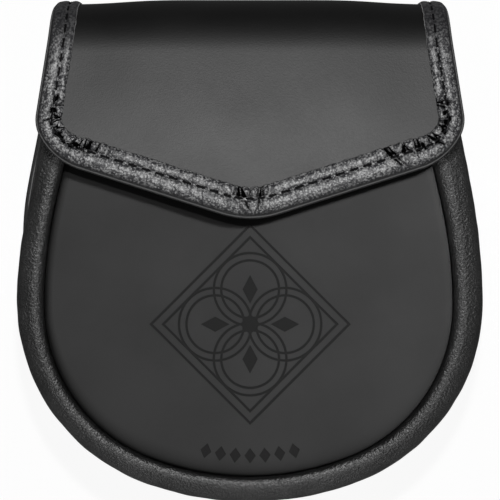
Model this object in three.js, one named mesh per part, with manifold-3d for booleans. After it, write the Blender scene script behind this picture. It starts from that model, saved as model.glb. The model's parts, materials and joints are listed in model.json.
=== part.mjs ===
// Day sporran: a flat leather pouch with a folded flap, lying on its back.
// Millimetres. X runs to the right of the front, Y up the front to the fold, Z out of the front.
// The origin is under the middle of the pouch, on the surface that it lies on.

import * as THREE from "three";
import { mergeVertices } from "three/addons/utils/BufferGeometryUtils.js";
import Module from "manifold-3d";

const wasm = await Module();
wasm.setup();

const degree = Math.PI / 180;

// Whole pouch
const height = 177.8;
const frontLevel = 38;
const gap = 0.3;

// Body outline from the front: arcs from the bottom centre to the leaning upper side
const bottomRadius = 106.5;
const bottomTurn = 21.1 * degree;
const cornerRadius = 68.9;
const cornerTurn = 66.8 * degree;
const sideRadius = 182.7;
const sideLean = 10.9 * degree;
const mouthBelowFold = 22.9;

// Back panel
const backThickness = 2.5;
const backSetIn = 1.2;
const backReveal = 1.1;

// Gusset: the ring between the front seam and the outer bulge
const gussetWall = 1.6;
const ringWidth = 14.3;
const crestRise = 1.5;
const bulgeSetIn = 1.5;

// Front panel
const panelThickness = 2.2;
const panelFlange = 6.5;
const panelRollDepth = 3;
const panelRollWidth = 6.5;

// Flap sheet
const flapThickness = 2.4;
const flapLean = 1.2 * degree;
const flapCrown = 1.6;
const flapCrownReach = 26;
const flapTipRise = 99.7;
const flapTipRadius = 34;
const flapTipTurn = 17.6 * degree;
const flapVLength = 49.2;
const flapLowCornerRadius = 26.6;
const flapLowCornerTurn = 46.2 * degree;
const flapCornerRadius = 14;
const flapSideLean = 8.9 * degree;
const flapSideLength = 20;
const flapShoulderRadius = 110;
const flapFoldLean = 3.6 * degree;
const flapSewnStrip = 14;
const flapColumns = 8;

// Binding round the flap's edge
const bindingWall = 1.3;
const bindingWidth = 8.8;
const bindingLipPuff = 0.5;
const bindingStrandPuff = 0.35;
const bindingStitchIn = 6.2;
const bindingTrough = 0.4;
const bindingTurnIn = 0.7;
const pleatPitch = 2.8;
const pleatDepth = 0.4;
const gatherReach = 9;

// Strap loops on the back
const loopWidth = 22;
const loopThickness = 2;
const loopBridge = 27;
const loopTab = 6;
const loopRamp = 3.5;
const loopClear = 5.3;
const loopSpacing = 90;
const loopBelowMouth = 39;

// Closure stud between flap and front panel
const studRadius = 6;
const studAboveTip = 20;
const studSides = 24;

// Fineness of the facets
const turnStep = 9 * degree;
const longestStep = 9;
const sectionSteps = 14;
const foldSteps = 18;

// Places that follow from the sizes
const bottomY = -height / 2;
const mouthY = height / 2 - mouthBelowFold;
const rimY = bottomY + backSetIn;
const loopY = mouthY - loopBelowMouth;
const backTilt = Math.atan((loopThickness + loopClear) / (loopY - rimY));
const bindingStand = gap + bindingWall + bindingLipPuff;
const foldTopY = height / 2 - bindingStand;
const flapFrontLevel = frontLevel + crestRise + gap + bindingWall + gap + flapThickness;
const flapTipY = bottomY + flapTipRise;
const flapInset = bindingWall + gap;

// The height of the back panel's outer face over the surface that the pouch lies on
function backOuterLevel(y) {
  return (y - rimY) * Math.tan(backTilt);
}

function backInnerLevel(y) {
  return backOuterLevel(y) + backThickness / Math.cos(backTilt);
}

// A half outline of arcs and lines joined without a corner, from the middle to the right.
// A negative radius turns the other way.
function makeOutline(startY, pieces) {
  const runs = [];
  let x = 0;
  let y = startY;
  let heading = 0;
  let start = 0;
  for (const { radius, turn, length } of pieces) {
    const run = { x, y, heading, start, radius, length: radius ? Math.abs(radius) * turn : length };
    runs.push(run);
    const end = pointOnRun(run, run.length);
    ({ x, y, heading } = end);
    start += run.length;
  }
  return { runs };
}

function pointOnRun(run, gone) {
  if (!run.radius) {
    return {
      x: run.x + gone * Math.cos(run.heading),
      y: run.y + gone * Math.sin(run.heading),
      heading: run.heading,
    };
  }
  const heading = run.heading + gone / run.radius;
  return {
    x: run.x + run.radius * (Math.sin(heading) - Math.sin(run.heading)),
    y: run.y + run.radius * (Math.cos(run.heading) - Math.cos(heading)),
    heading,
  };
}

// A place on the outline at a signed distance from its middle, with the outward direction
function pointOn(outline, distance) {
  const side = distance < 0 ? -1 : 1;
  const along = Math.abs(distance);
  const run = outline.runs.findLast((one) => one.start <= along);
  const { x, y, heading } = pointOnRun(run, along - run.start);
  return { x: side * x, y, outX: side * Math.sin(heading), outY: -Math.cos(heading) };
}

function insetPoint(outline, distance, inset) {
  const place = pointOn(outline, distance);
  return { x: place.x - inset * place.outX, y: place.y - inset * place.outY };
}

// Distance along the outline to a height on its last straight line
function distanceAtHeight(outline, y) {
  const run = outline.runs.at(-1);
  return run.start + (y - run.y) / Math.sin(run.heading);
}

// Distances from the middle to an end, close together where the outline turns
function halfStops(outline, end) {
  const stops = [0];
  for (const run of outline.runs) {
    const last = Math.min(run.start + run.length, end);
    if (run === outline.runs.at(-1) ? end <= run.start : last <= run.start) break;
    const stop = run === outline.runs.at(-1) ? end : last;
    const turned = run.radius ? (stop - run.start) / Math.abs(run.radius) : 0;
    const steps = Math.ceil(Math.max(turned / turnStep, (stop - run.start) / longestStep));
    for (let step = 1; step <= steps; step += 1) {
      stops.push(run.start + ((stop - run.start) * step) / steps);
    }
  }
  return stops;
}

function bothSides(stops) {
  return [...stops.slice(1).reverse().map((stop) => -stop), ...stops];
}

// A smooth value between the rows of a table, by its first column
function smoothRow(rows, column, along) {
  const place = THREE.MathUtils.clamp(along, 0, 1);
  const after = Math.max(1, rows.findIndex((row) => row.along >= place));
  const slope = (index) => {
    const low = rows[Math.max(index - 1, 0)];
    const high = rows[Math.min(index + 1, rows.length - 1)];
    return (high[column] - low[column]) / (high.along - low.along);
  };
  const from = rows[after - 1];
  const to = rows[after];
  const span = to.along - from.along;
  const t = (place - from.along) / span;
  return (
    (2 * t ** 3 - 3 * t ** 2 + 1) * from[column] +
    (t ** 3 - 2 * t ** 2 + t) * span * slope(after - 1) +
    (3 * t ** 2 - 2 * t ** 3) * to[column] +
    (t ** 3 - t ** 2) * span * slope(after)
  );
}

// A closed wall between two grids of points, each a list of rows of the same length
function wallBetween(outer, inner) {
  const rows = outer.length;
  const columns = outer[0].length;
  const points = [...outer.flat(), ...inner.flat()];
  const at = (layer, row, column) => layer * rows * columns + row * columns + column;
  const faces = [];
  const quad = (a, b, c, d) => faces.push(a, b, c, a, c, d);
  for (let row = 0; row < rows - 1; row += 1) {
    for (let column = 0; column < columns - 1; column += 1) {
      quad(at(0, row, column), at(0, row, column + 1), at(0, row + 1, column + 1), at(0, row + 1, column));
      quad(at(1, row, column), at(1, row + 1, column), at(1, row + 1, column + 1), at(1, row, column + 1));
    }
    quad(at(0, row, 0), at(0, row + 1, 0), at(1, row + 1, 0), at(1, row, 0));
    const end = columns - 1;
    quad(at(0, row, end), at(1, row, end), at(1, row + 1, end), at(0, row + 1, end));
  }
  for (let column = 0; column < columns - 1; column += 1) {
    quad(at(0, 0, column), at(1, 0, column), at(1, 0, column + 1), at(0, 0, column + 1));
    const end = rows - 1;
    quad(at(0, end, column), at(0, end, column + 1), at(1, end, column + 1), at(1, end, column));
  }
  return facedOut(points, faces);
}

// A geometry with its faces pointing out, whichever way round its grid was walked
function facedOut(points, faces) {
  let volume = 0;
  for (let i = 0; i < faces.length; i += 3) {
    const [a, b, c] = [points[faces[i]], points[faces[i + 1]], points[faces[i + 2]]];
    volume += a.dot(new THREE.Vector3().crossVectors(b, c)) / 6;
  }
  const index = volume > 0 ? faces : [...faces].reverse();
  const geometry = new THREE.BufferGeometry().setFromPoints(points);
  geometry.setIndex(index);
  return geometry;
}

function toSolid(geometry) {
  const bare = geometry.clone();
  bare.deleteAttribute("normal");
  bare.deleteAttribute("uv");
  const merged = mergeVertices(bare, 1e-4);
  return new wasm.Manifold(
    new wasm.Mesh({
      numProp: 3,
      vertProperties: Float32Array.from(merged.attributes.position.array),
      triVerts: Uint32Array.from(merged.index.array),
    }),
  );
}

function toGeometry(solid) {
  const mesh = solid.getMesh();
  const geometry = new THREE.BufferGeometry();
  geometry.setAttribute("position", new THREE.BufferAttribute(new Float32Array(mesh.vertProperties), 3));
  geometry.setIndex(new THREE.BufferAttribute(new Uint32Array(mesh.triVerts), 1));
  return geometry;
}

function leather(color, roughness) {
  return new THREE.MeshStandardMaterial({ color, roughness, metalness: 0 });
}

function addPiece(group, name, geometry, material) {
  const mesh = new THREE.Mesh(geometry, material);
  mesh.name = name;
  group.add(mesh);
  return mesh;
}

// Outlines
const bodyOutline = makeOutline(bottomY, [
  { radius: bottomRadius, turn: bottomTurn },
  { radius: cornerRadius, turn: cornerTurn },
  { radius: sideRadius, turn: 90 * degree + sideLean - bottomTurn - cornerTurn },
  { length: 1 },
]);
const bodyLength = distanceAtHeight(bodyOutline, mouthY);

// Shares of the half outline, of ringWidth and of the left side's back edge, row by row upwards
const ringRows = [
  { along: 0.0, left: 0.645, right: 0.645, reveal: 0 },
  { along: 0.3, left: 0.64, right: 0.685, reveal: 0 },
  { along: 0.5, left: 0.675, right: 0.745, reveal: 0 },
  { along: 0.62, left: 0.72, right: 0.79, reveal: 0.15 },
  { along: 0.76, left: 0.8, right: 0.87, reveal: 1 },
  { along: 0.88, left: 0.87, right: 0.935, reveal: 1 },
  { along: 1.0, left: 0.935, right: 1.0, reveal: 1 },
];

function ringAt(distance) {
  const along = Math.abs(distance) / bodyLength;
  const left = distance < 0;
  const shown = left ? smoothRow(ringRows, "reveal", along) : 0;
  return {
    seam: ringWidth * smoothRow(ringRows, left ? "left" : "right", along),
    bulge: bulgeSetIn * shown,
    backEdge: backSetIn - (backSetIn + backReveal) * shown,
  };
}

// Flat back with its edge a little inside the bulge, but just outside it at the upper left
function makeBackPanel() {
  const stops = bothSides(halfStops(bodyOutline, bodyLength));
  const outline = stops.map((stop) => {
    const { x, y } = insetPoint(bodyOutline, stop, ringAt(stop).backEdge);
    return new THREE.Vector2(x, (y - rimY) / Math.cos(backTilt));
  });
  return new THREE.ExtrudeGeometry(new THREE.Shape(outline), {
    depth: backThickness,
    bevelEnabled: false,
  });
}

// The gusset's section: shares of the ring from the seam outwards, and of the depth from the back
const gussetRows = [
  { out: 0.3, up: 0.0 },
  { out: 0.62, up: 0.0 },
  { out: 0.86, up: 0.05 },
  { out: 0.985, up: 0.2 },
  { out: 1.0, up: 0.46 },
  { out: 0.965, up: 0.72 },
  { out: 0.82, up: 0.915 },
  { out: 0.58, up: 0.995 },
  { out: 0.36, up: 0.99 },
  { out: 0.15, up: 0.935 },
  { out: 0.03, up: 0.85 },
  { out: 0.0, up: 0.74 },
];

// Soft band round the sides and the bottom, rolled forward and down again into the front seam
function makeGusset() {
  const outer = [];
  const inner = [];
  for (const stop of bothSides(halfStops(bodyOutline, bodyLength))) {
    const ring = ringAt(stop);
    const half = gussetWall / 2;
    const width = ring.seam - ring.bulge - gussetWall;
    const middle = new THREE.SplineCurve(
      gussetRows.map(({ out, up }) => new THREE.Vector2(ring.seam - half - out * width, up)),
    );
    const outerRow = [];
    const innerRow = [];
    const levelAt = (inset, up) => {
      const low = backInnerLevel(insetPoint(bodyOutline, stop, inset).y) + gap + half;
      return THREE.MathUtils.lerp(low, frontLevel + crestRise - half, up);
    };
    for (let step = 0; step <= sectionSteps; step += 1) {
      const { x: inset, y: up } = middle.getPoint(step / sectionSteps);
      const slope = middle.getTangent(step / sectionSteps);
      const rise = slope.y * (levelAt(inset, 1) - levelAt(inset, 0));
      const across = new THREE.Vector2(-rise, slope.x).normalize();
      for (const [row, side] of [[outerRow, half], [innerRow, -half]]) {
        const { x, y } = insetPoint(bodyOutline, stop, inset + side * across.x);
        row.push(new THREE.Vector3(x, y, levelAt(inset, up) + side * across.y));
      }
    }
    outer.push(outerRow);
    inner.push(innerRow);
  }
  return wallBetween(outer, inner);
}

// A block whose front edge rolls back all round, grown or shrunk by an inset and a drop
function panelBlock(inset, drop, depth, pastMouth) {
  const stops = bothSides(halfStops(bodyOutline, bodyLength + pastMouth));
  const rollSteps = 4;
  const rings = [];
  for (let step = -1; step <= rollSteps; step += 1) {
    const angle = (Math.max(step, 0) / rollSteps) * 90 * degree;
    const level = step < 0 ? frontLevel - depth : frontLevel - drop - panelRollDepth * (1 - Math.sin(angle));
    rings.push(
      stops.map((stop) => {
        const roll = panelRollAt(stop) * (1 - Math.cos(angle));
        const { x, y } = insetPoint(bodyOutline, stop, ringAt(stop).seam + gap + inset + roll);
        return new THREE.Vector3(x, y, level);
      }),
    );
  }
  const points = rings.flat();
  const count = stops.length;
  const faces = [];
  for (let ring = 0; ring < rings.length - 1; ring += 1) {
    for (let i = 0; i < count; i += 1) {
      const next = (i + 1) % count;
      const [a, b] = [ring * count + i, ring * count + next];
      faces.push(a, b, b + count, a, b + count, a + count);
    }
  }
  const top = (rings.length - 1) * count;
  const contour = rings.at(-1).map(({ x, y }) => new THREE.Vector2(x, y));
  for (const [a, b, c] of THREE.ShapeUtils.triangulateShape(contour, [])) {
    faces.push(top + a, top + b, top + c);
  }
  const base = rings[0].map(({ x, y }) => new THREE.Vector2(x, y));
  for (const [a, b, c] of THREE.ShapeUtils.triangulateShape(base, [])) faces.push(a, c, b);
  return toSolid(facedOut(points, faces));
}

// The roll is widest along the bottom and narrow up the sides
function panelRollAt(distance) {
  const along = Math.abs(distance) / bodyLength;
  return panelRollWidth * (1 - 0.5 * THREE.MathUtils.smoothstep(along, 0.15, 0.6));
}

// Tray-shaped front: a flat face, a rolled edge and a flange turned back into the seam
function makeFrontPanel() {
  const past = 8;
  const block = panelBlock(0, 0, panelFlange, past);
  const hollow = panelBlock(panelThickness, panelThickness, panelFlange + past, 2 * past);
  const span = 2 * height;
  const above = new THREE.BoxGeometry(span, height, span);
  above.translate(0, mouthY + height / 2, 0);
  return toGeometry(block.subtract(hollow).subtract(toSolid(above)));
}

// The fold: an arc that touches the flap's front line and its sewn line behind the back panel
const fold = (() => {
  const rearLevel = backOuterLevel(mouthY) - (gap + flapThickness) / Math.cos(backTilt);
  const frontOut = flapFrontLevel * Math.cos(flapLean) + mouthY * Math.sin(flapLean);
  const rearOut = mouthY * Math.sin(backTilt) - rearLevel * Math.cos(backTilt);
  const ratio = Math.cos(backTilt) / Math.cos(flapLean);
  const sines = Math.sin(backTilt) + ratio * Math.sin(flapLean);
  const radius = (rearOut + ratio * frontOut - foldTopY * sines) / (1 + ratio - sines);
  const centreY = foldTopY - radius;
  const centreZ = (frontOut - radius - Math.sin(flapLean) * centreY) / Math.cos(flapLean);
  const turn = Math.PI - flapLean - backTilt;
  return { radius, centreY, centreZ, turn, length: radius * turn, startY: centreY + radius * Math.sin(flapLean) };
})();

// A point of the flap: sideways, along the leather from the tip over the fold, and off its face
function onFlap(x, along, off) {
  const gone = along - fold.startY;
  const turned = THREE.MathUtils.clamp(gone / fold.radius, 0, fold.turn);
  const heading = -flapLean - turned;
  const past = gone < 0 ? gone : Math.max(gone - fold.length, 0);
  const reach = fold.radius + off;
  return new THREE.Vector3(
    x,
    fold.centreY - reach * Math.sin(heading) + past * Math.cos(heading),
    fold.centreZ + reach * Math.cos(heading) + past * Math.sin(heading),
  );
}

const flapOutline = makeOutline(flapTipY, [
  { radius: flapTipRadius, turn: flapTipTurn },
  { length: flapVLength },
  { radius: flapLowCornerRadius, turn: flapLowCornerTurn },
  { radius: flapCornerRadius, turn: 90 * degree + flapSideLean - flapTipTurn - flapLowCornerTurn },
  { length: flapSideLength },
  { radius: -flapShoulderRadius, turn: flapSideLean - flapFoldLean },
  { length: 1 },
]);
const flapLength = distanceAtHeight(flapOutline, fold.startY + fold.length + flapSewnStrip);
const foldStart = distanceAtHeight(flapOutline, fold.startY);

// Stops over the fold, shared by the sheet and its binding, with the sheet's ends of the fold
const foldStops = Array.from({ length: foldSteps + 1 }, (_, step) =>
  distanceAtHeight(flapOutline, fold.startY + (fold.length * step) / foldSteps),
);

// How far a place on the sheet is from the flap's edge
const flapEdge = bothSides(halfStops(flapOutline, flapLength)).map((stop) => pointOn(flapOutline, stop));

function edgeDistance(x, along) {
  return Math.min(
    ...flapEdge.map((place) => (place.x - x) * place.outX + (place.y - along) * place.outY),
  );
}

// The sheet swells between its bound edges, and lies flat again where it is sewn to the back
function flapSwell(x, along) {
  const inside = edgeDistance(x, along) - bindingWidth;
  const flat = THREE.MathUtils.smoothstep(along, fold.startY + fold.length / 2, fold.startY + fold.length);
  return flapCrown * THREE.MathUtils.smoothstep(inside, 0, flapCrownReach) * (1 - flat);
}

function makeFlap() {
  const outer = [];
  const inner = [];
  const front = halfStops(flapOutline, foldStart).slice(1, -1);
  for (const stop of [...front, ...foldStops, flapLength]) {
    const end = insetPoint(flapOutline, stop, flapInset);
    const free = Math.max(end.x - bindingWidth, end.x / 2);
    const places = Array.from({ length: flapColumns + 1 }, (_, column) => free * ((2 * column) / flapColumns - 1));
    const row = (off) =>
      [-end.x, ...places, end.x].map((x) => onFlap(x, end.y, flapSwell(x, end.y) + off));
    outer.push(row(0));
    inner.push(row(-flapThickness));
  }
  return wallBetween(outer, inner);
}

// Where the binding is gathered: the middle of the V and both corners
const cornerStart = flapOutline.runs[2].start;
const cornerEnd = flapOutline.runs[4].start;

function gatherAt(distance) {
  const along = Math.abs(distance);
  const tip = 1 - THREE.MathUtils.smoothstep(along, gatherReach, 2 * gatherReach);
  const corner =
    THREE.MathUtils.smoothstep(along, cornerStart - gatherReach, cornerStart) *
    (1 - THREE.MathUtils.smoothstep(along, cornerEnd, cornerEnd + gatherReach));
  return Math.max(tip, corner);
}

// Stops with a ridge and a valley for each pleat where the binding is gathered.
// The binding ends one step before the fold meets the back panel.
function bindingStops() {
  const stops = [0];
  while (stops.at(-1) < foldStart - longestStep / 2) {
    const here = stops.at(-1);
    stops.push(here + (gatherAt(here + pleatPitch) > 0 ? pleatPitch / 2 : longestStep / 2));
  }
  return bothSides([...stops, ...foldStops.slice(0, -1)]);
}

// Soft strip folded round the flap's edge: two puffed strands over a stitched trough, pleated
function makeBinding() {
  const top = gap + bindingWall;
  const under = -flapThickness - gap;
  const outer = [];
  const inner = [];
  bindingStops().forEach((stop, index) => {
    const pleat = pleatDepth * gatherAt(stop) * (index % 2 ? 1 : -1);
    const strand = top + bindingStrandPuff + pleat;
    const strandIn = (bindingWidth + bindingStitchIn) / 2;
    const section = [
      [bindingWidth, top - bindingTurnIn, bindingWidth, gap],
      [strandIn, strand, strandIn, gap],
      [bindingStitchIn, top - bindingTrough, bindingStitchIn, gap],
      [bindingStitchIn / 2, top + bindingLipPuff, bindingStitchIn / 2, gap],
      [bindingWall / 2, top / 2, bindingWall, gap],
      [0, -flapThickness / 2, bindingWall, -flapThickness / 2],
      [bindingWall / 2, under - bindingWall / 2, bindingWall, under],
      [bindingStitchIn / 2, under - bindingWall, bindingStitchIn / 2, under],
      [bindingWidth, under - bindingWall, bindingWidth, under],
    ];
    const place = (inset, off) => {
      const { x, y } = insetPoint(flapOutline, stop, inset);
      return onFlap(x, y, off);
    };
    outer.push(section.map(([inset, off]) => place(inset, off)));
    inner.push(section.map(([, , inset, off]) => place(inset, off)));
  });
  return wallBetween(outer, inner);
}

// A strip sewn down at both ends, whose bridge stands off the back and has a flat outer face
function makeStrapLoop() {
  const half = loopBridge / 2;
  const rows = [
    { y: half + loopRamp + loopTab, sewn: true },
    { y: half + loopRamp, sewn: true },
    { y: half, sewn: false },
    { y: -half, sewn: false },
    { y: -half - loopRamp, sewn: true },
    { y: -half - loopRamp - loopTab, sewn: true },
  ];
  const sewnLevel = (y) => backOuterLevel(y) - gap / Math.cos(backTilt);
  const strip = (x, layer) =>
    rows.map((row) => {
      const y = loopY + row.y;
      const lift = row.sewn ? sewnLevel(y) - loopThickness : 0;
      return new THREE.Vector3(x, y, lift + layer * loopThickness);
    });
  const ends = [-loopWidth / 2, loopWidth / 2];
  return wallBetween(ends.map((x) => strip(x, 0)), ends.map((x) => strip(x, 1)));
}

// Plain stud that fills the space between the front panel and the flap
function makeStud() {
  const y = flapTipY + studAboveTip;
  const underside = (place) => onFlap(0, place, flapSwell(0, place) - flapThickness).z;
  const top = Math.min(underside(y - studRadius), underside(y + studRadius)) - gap;
  const bottom = frontLevel + gap;
  const profile = [
    new THREE.Vector2(0, 0),
    new THREE.Vector2(studRadius, 0),
    new THREE.Vector2(studRadius, top - bottom),
    new THREE.Vector2(0, top - bottom),
  ];
  const geometry = new THREE.LatheGeometry(profile, studSides);
  geometry.rotateX(90 * degree);
  geometry.translate(0, y, bottom);
  return geometry;
}

const group = new THREE.Group();

const back = addPiece(group, "back_panel", makeBackPanel(), leather(0x1b1b1d, 0.6));
back.position.set(0, rimY, 0);
back.rotation.x = backTilt;

addPiece(group, "gusset", makeGusset(), leather(0x26262a, 0.5));
addPiece(group, "front_panel", makeFrontPanel(), leather(0x333337, 0.65));
addPiece(group, "flap", makeFlap(), leather(0x2c2c30, 0.45));
addPiece(group, "flap_binding", makeBinding(), leather(0x232326, 0.4));

const loopMaterial = leather(0x1f1f21, 0.55);
for (const [name, side] of [["strap_loop_left", -1], ["strap_loop_right", 1]]) {
  const loop = addPiece(group, name, makeStrapLoop(), loopMaterial.clone());
  loop.position.x = (side * loopSpacing) / 2;
}

addPiece(group, "closure_stud", makeStud(), leather(0x18181a, 0.5));

export default group;
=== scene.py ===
"""A day sporran in black leather, lying on its back, with a matte engraved front panel."""

import json
import math

import bpy
import numpy as np
from bpy.props import FloatProperty, FloatVectorProperty, IntProperty, PointerProperty
from bpy.types import Operator, Panel, PropertyGroup
from mathutils import Matrix, Vector, noise


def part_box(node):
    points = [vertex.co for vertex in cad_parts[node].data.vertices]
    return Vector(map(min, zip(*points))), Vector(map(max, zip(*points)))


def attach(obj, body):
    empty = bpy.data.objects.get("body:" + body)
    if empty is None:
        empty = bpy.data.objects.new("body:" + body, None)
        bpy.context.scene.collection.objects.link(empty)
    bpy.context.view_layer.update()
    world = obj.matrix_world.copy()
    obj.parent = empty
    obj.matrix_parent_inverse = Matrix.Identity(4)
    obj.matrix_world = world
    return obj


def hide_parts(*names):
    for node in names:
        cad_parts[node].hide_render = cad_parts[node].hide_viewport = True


bl_info = {
    "name": "Day sporran",
    "version": (1, 0, 0),
    "blender": (4, 5, 0),
    "location": "3D View > Sidebar > Sporran",
    "description": "Dresses the packed pouch in leather, piece by piece",
    "category": "Object",
}

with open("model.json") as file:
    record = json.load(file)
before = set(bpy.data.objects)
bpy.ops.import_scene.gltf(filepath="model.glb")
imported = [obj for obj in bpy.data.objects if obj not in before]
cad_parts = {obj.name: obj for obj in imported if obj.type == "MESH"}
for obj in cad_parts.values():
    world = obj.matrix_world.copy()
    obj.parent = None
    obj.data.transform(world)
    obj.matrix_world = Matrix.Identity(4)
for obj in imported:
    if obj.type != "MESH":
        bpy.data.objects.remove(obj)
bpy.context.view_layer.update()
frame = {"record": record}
BODY = "root"
SLOT_COLOURS = {slot["slot"]: slot["base_color"][:3] for slot in frame["record"]["materials"]}

# Sizes of the pouch in millimetres: those of the solids, but for the bulge's set-ins and the
# binding's width, which follow the photo by up to a millimetre more
MM = 0.001
HEIGHT = 177.8
FRONT_LEVEL = 38.0
GAP = 0.3
MOUTH_BELOW_FOLD = 22.9
BACK_THICKNESS = 2.5
BACK_SET_IN = 1.2
BACK_REVEAL = 1.1
GUSSET_WALL = 1.6
RING_WIDTH = 14.3
CREST_RISE = 1.5
BULGE_SET_IN = 2.1
RIGHT_SET_IN = 0.9
PANEL_THICKNESS = 2.2
PANEL_FLANGE = 6.5
PANEL_ROLL_DEPTH = 3.0
PANEL_ROLL_WIDTH = 6.5
FLAP_THICKNESS = 2.4
FLAP_LEAN = math.radians(1.2)
FLAP_CROWN = 1.6
FLAP_CROWN_REACH = 26.0
FLAP_TIP_RISE = 99.7
FLAP_SEWN_STRIP = 14.0
BINDING_WALL = 1.3
BINDING_WIDTH = 9.2
LOOP_WIDTH = 22.0
LOOP_THICKNESS = 2.0
LOOP_BRIDGE = 27.0
LOOP_TAB = 6.0
LOOP_RAMP = 3.5
LOOP_CLEAR = 5.3
LOOP_SPACING = 90.0
LOOP_BELOW_MOUTH = 39.0
STUD_RADIUS = 6.0
ORNAMENT_DROP = 26.0
ROW_DROP = 72.0
ROW_RADIUS = 70.0
ROW_PITCH = 5.2
ROW_COUNT = 7

# The camera: millimetres in a pixel of the photo, its width in pixels, and the level shown true
PIXEL = 0.3564
PHOTO_WIDTH = 500
TRUE_LEVEL = 20.0
LENS = 200.0
SENSOR = 36.0

# The panels are filled in towards a line down their middle, from this height up to the mouth
SPINE_LOW = -10.0
# The binding stops one of the solids' fold steps short of the sewn strip
FOLD_STEPS = 18

BOTTOM_Y = -HEIGHT / 2
MOUTH_Y = HEIGHT / 2 - MOUTH_BELOW_FOLD
RIM_Y = BOTTOM_Y + BACK_SET_IN
LOOP_Y = MOUTH_Y - LOOP_BELOW_MOUTH
BACK_TILT = math.atan((LOOP_THICKNESS + LOOP_CLEAR) / (LOOP_Y - RIM_Y))


def length_property(name, description, default):
    return FloatProperty(name=name, description=description, default=default, unit="LENGTH")


def colour_property(name, description, default):
    return FloatVectorProperty(
        name=name, description=description, default=default, subtype="COLOR", min=0, max=1
    )


class PouchSizes(PropertyGroup):
    """Sizes that a maker would change without cutting a new pattern"""

    grain_height: length_property("Grain height", "Depth of the binding's pebbles", 0.00022)
    grain_size: length_property("Grain size", "Width of one pebble of the binding", 0.00075)
    pore_height: length_property("Pore height", "Depth of the smooth leathers' pores", 0.00004)
    stitch_pitch: length_property("Stitch pitch", "From one stitch to the next", 0.0050)
    stitch_length: length_property("Stitch length", "Thread that shows in one stitch", 0.0037)
    thread_width: length_property("Thread width", "Thickness of the sewing thread", 0.0007)
    pleat_pitch: length_property("Pleat pitch", "From one gather to the next", 0.0021)
    pleat_depth: length_property("Pleat depth", "Depth of the binding's gathers", 0.0014)
    wrinkle_height: length_property("Wrinkle height", "Height of the gusset's waves", 0.00022)
    ornament_depth: length_property("Ornament depth", "Depth of the ornament", 0.00012)
    stitch_sides: IntProperty(
        name="Stitch sides", description="Facets round one stitch", default=8, min=6, max=12
    )


class PouchColours(PropertyGroup):
    """Colours of the leathers, the thread and the stage"""

    flap: colour_property("Flap", "Satin leather of the flap", (0.003, 0.003, 0.003))
    panel: colour_property("Panel", "Matte leather of the front", (0.0286, 0.0286, 0.0286))
    gusset: colour_property("Gusset", "Soft leather of the gusset", (0.018, 0.018, 0.018))
    binding: colour_property("Binding", "Pebbled leather", SLOT_COLOURS["binding_leather"])
    # Pale tops of the pebbles: partly wear, partly a painted glint
    worn_grain: colour_property("Worn grain", "Tops of the pebbles", (0.21, 0.21, 0.21))
    back: colour_property("Back", "Leather of the back", SLOT_COLOURS["back_leather"])
    loop: colour_property("Loops", "Leather of the strap loops", SLOT_COLOURS["loop_leather"])
    stud: colour_property("Stud", "Enamel of the hidden stud", SLOT_COLOURS["stud_enamel"])
    engraving: colour_property("Engraving", "Burnt lines of the ornament", (0.012, 0.012, 0.012))
    thread: colour_property("Thread", "Waxed sewing thread", (0.004, 0.004, 0.005))
    cut_edge: colour_property("Cut edge", "Raw edge of split leather", (0.32, 0.32, 0.32))
    floor: colour_property("Floor", "Floor of the stage", (0.93, 0.93, 0.93))


# Outlines and the places that follow from them


def smoothstep(value, low, high):
    t = np.clip((value - low) / (high - low), 0, 1)
    return t * t * (3 - 2 * t)


class Outline:
    """Half an outline, from its middle rightwards: (radius, turn) arcs, (None, length) lines"""

    def __init__(self, start_y, pieces):
        self.runs = []
        x, y, heading, start = 0.0, start_y, 0.0, 0.0
        for radius, size in pieces:
            length = abs(radius) * size if radius else size
            self.runs.append((x, y, heading, start, radius))
            x, y, heading = self.on_run(self.runs[-1], length)
            start += length

    @staticmethod
    def on_run(run, gone):
        x, y, heading, _, radius = run
        if not radius:
            return x + gone * np.cos(heading), y + gone * np.sin(heading), heading + 0 * gone
        turned = heading + gone / radius
        return (
            x + radius * (np.sin(turned) - np.sin(heading)),
            y + radius * (np.cos(heading) - np.cos(turned)),
            turned,
        )

    def place(self, distance, inset=0.0):
        """x and y of places at signed distances from the middle, moved inwards by an inset"""
        side = np.where(distance < 0, -1.0, 1.0)
        along = np.abs(distance)
        x, y, heading = (np.zeros_like(along) for _ in range(3))
        for run in self.runs:
            here = along >= run[3]
            run_x, run_y, run_heading = self.on_run(run, along - run[3])
            x = np.where(here, run_x, x)
            y = np.where(here, run_y, y)
            heading = np.where(here, run_heading, heading)
        return side * (x - inset * np.sin(heading)), y + inset * np.cos(heading)

    def distance_at(self, y):
        """Distance along the outline to a height on its last line"""
        _, run_y, heading, start, _ = self.runs[-1]
        return start + (y - run_y) / math.sin(heading)


SIDE_LEAN = math.radians(10.9)
BODY_OUTLINE = Outline(
    BOTTOM_Y,
    [
        (106.5, math.radians(21.1)),
        (68.9, math.radians(66.8)),
        (182.7, math.radians(90 - 21.1 - 66.8) + SIDE_LEAN),
        (None, 1.0),
    ],
)
BODY_LENGTH = BODY_OUTLINE.distance_at(MOUTH_Y)

# Share of the half outline, ring on the left, ring on the right, and how far the back shows
RING_ROWS = np.array(
    [
        (0.0, 0.645, 0.645, 0.0),
        (0.3, 0.64, 0.685, 0.0),
        (0.5, 0.675, 0.745, 0.0),
        (0.62, 0.72, 0.79, 0.15),
        (0.76, 0.8, 0.87, 1.0),
        (0.88, 0.87, 0.935, 1.0),
        (1.0, 0.935, 1.0, 1.0),
    ]
)

# The gusset's section: share of the ring from the seam outwards, share of the depth from the back
GUSSET_ROWS = np.array(
    [
        (0.3, 0.0), (0.62, 0.0), (0.86, 0.05), (0.985, 0.2),
        (1.0, 0.46), (0.99, 0.7), (0.93, 0.875), (0.8, 0.938),
        (0.58, 0.97), (0.4, 0.987), (0.26, 0.99), (0.12, 0.98),
        (0.045, 0.958), (0.008, 0.92), (0.0, 0.85), (0.0, 0.78),
    ]
)


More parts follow.
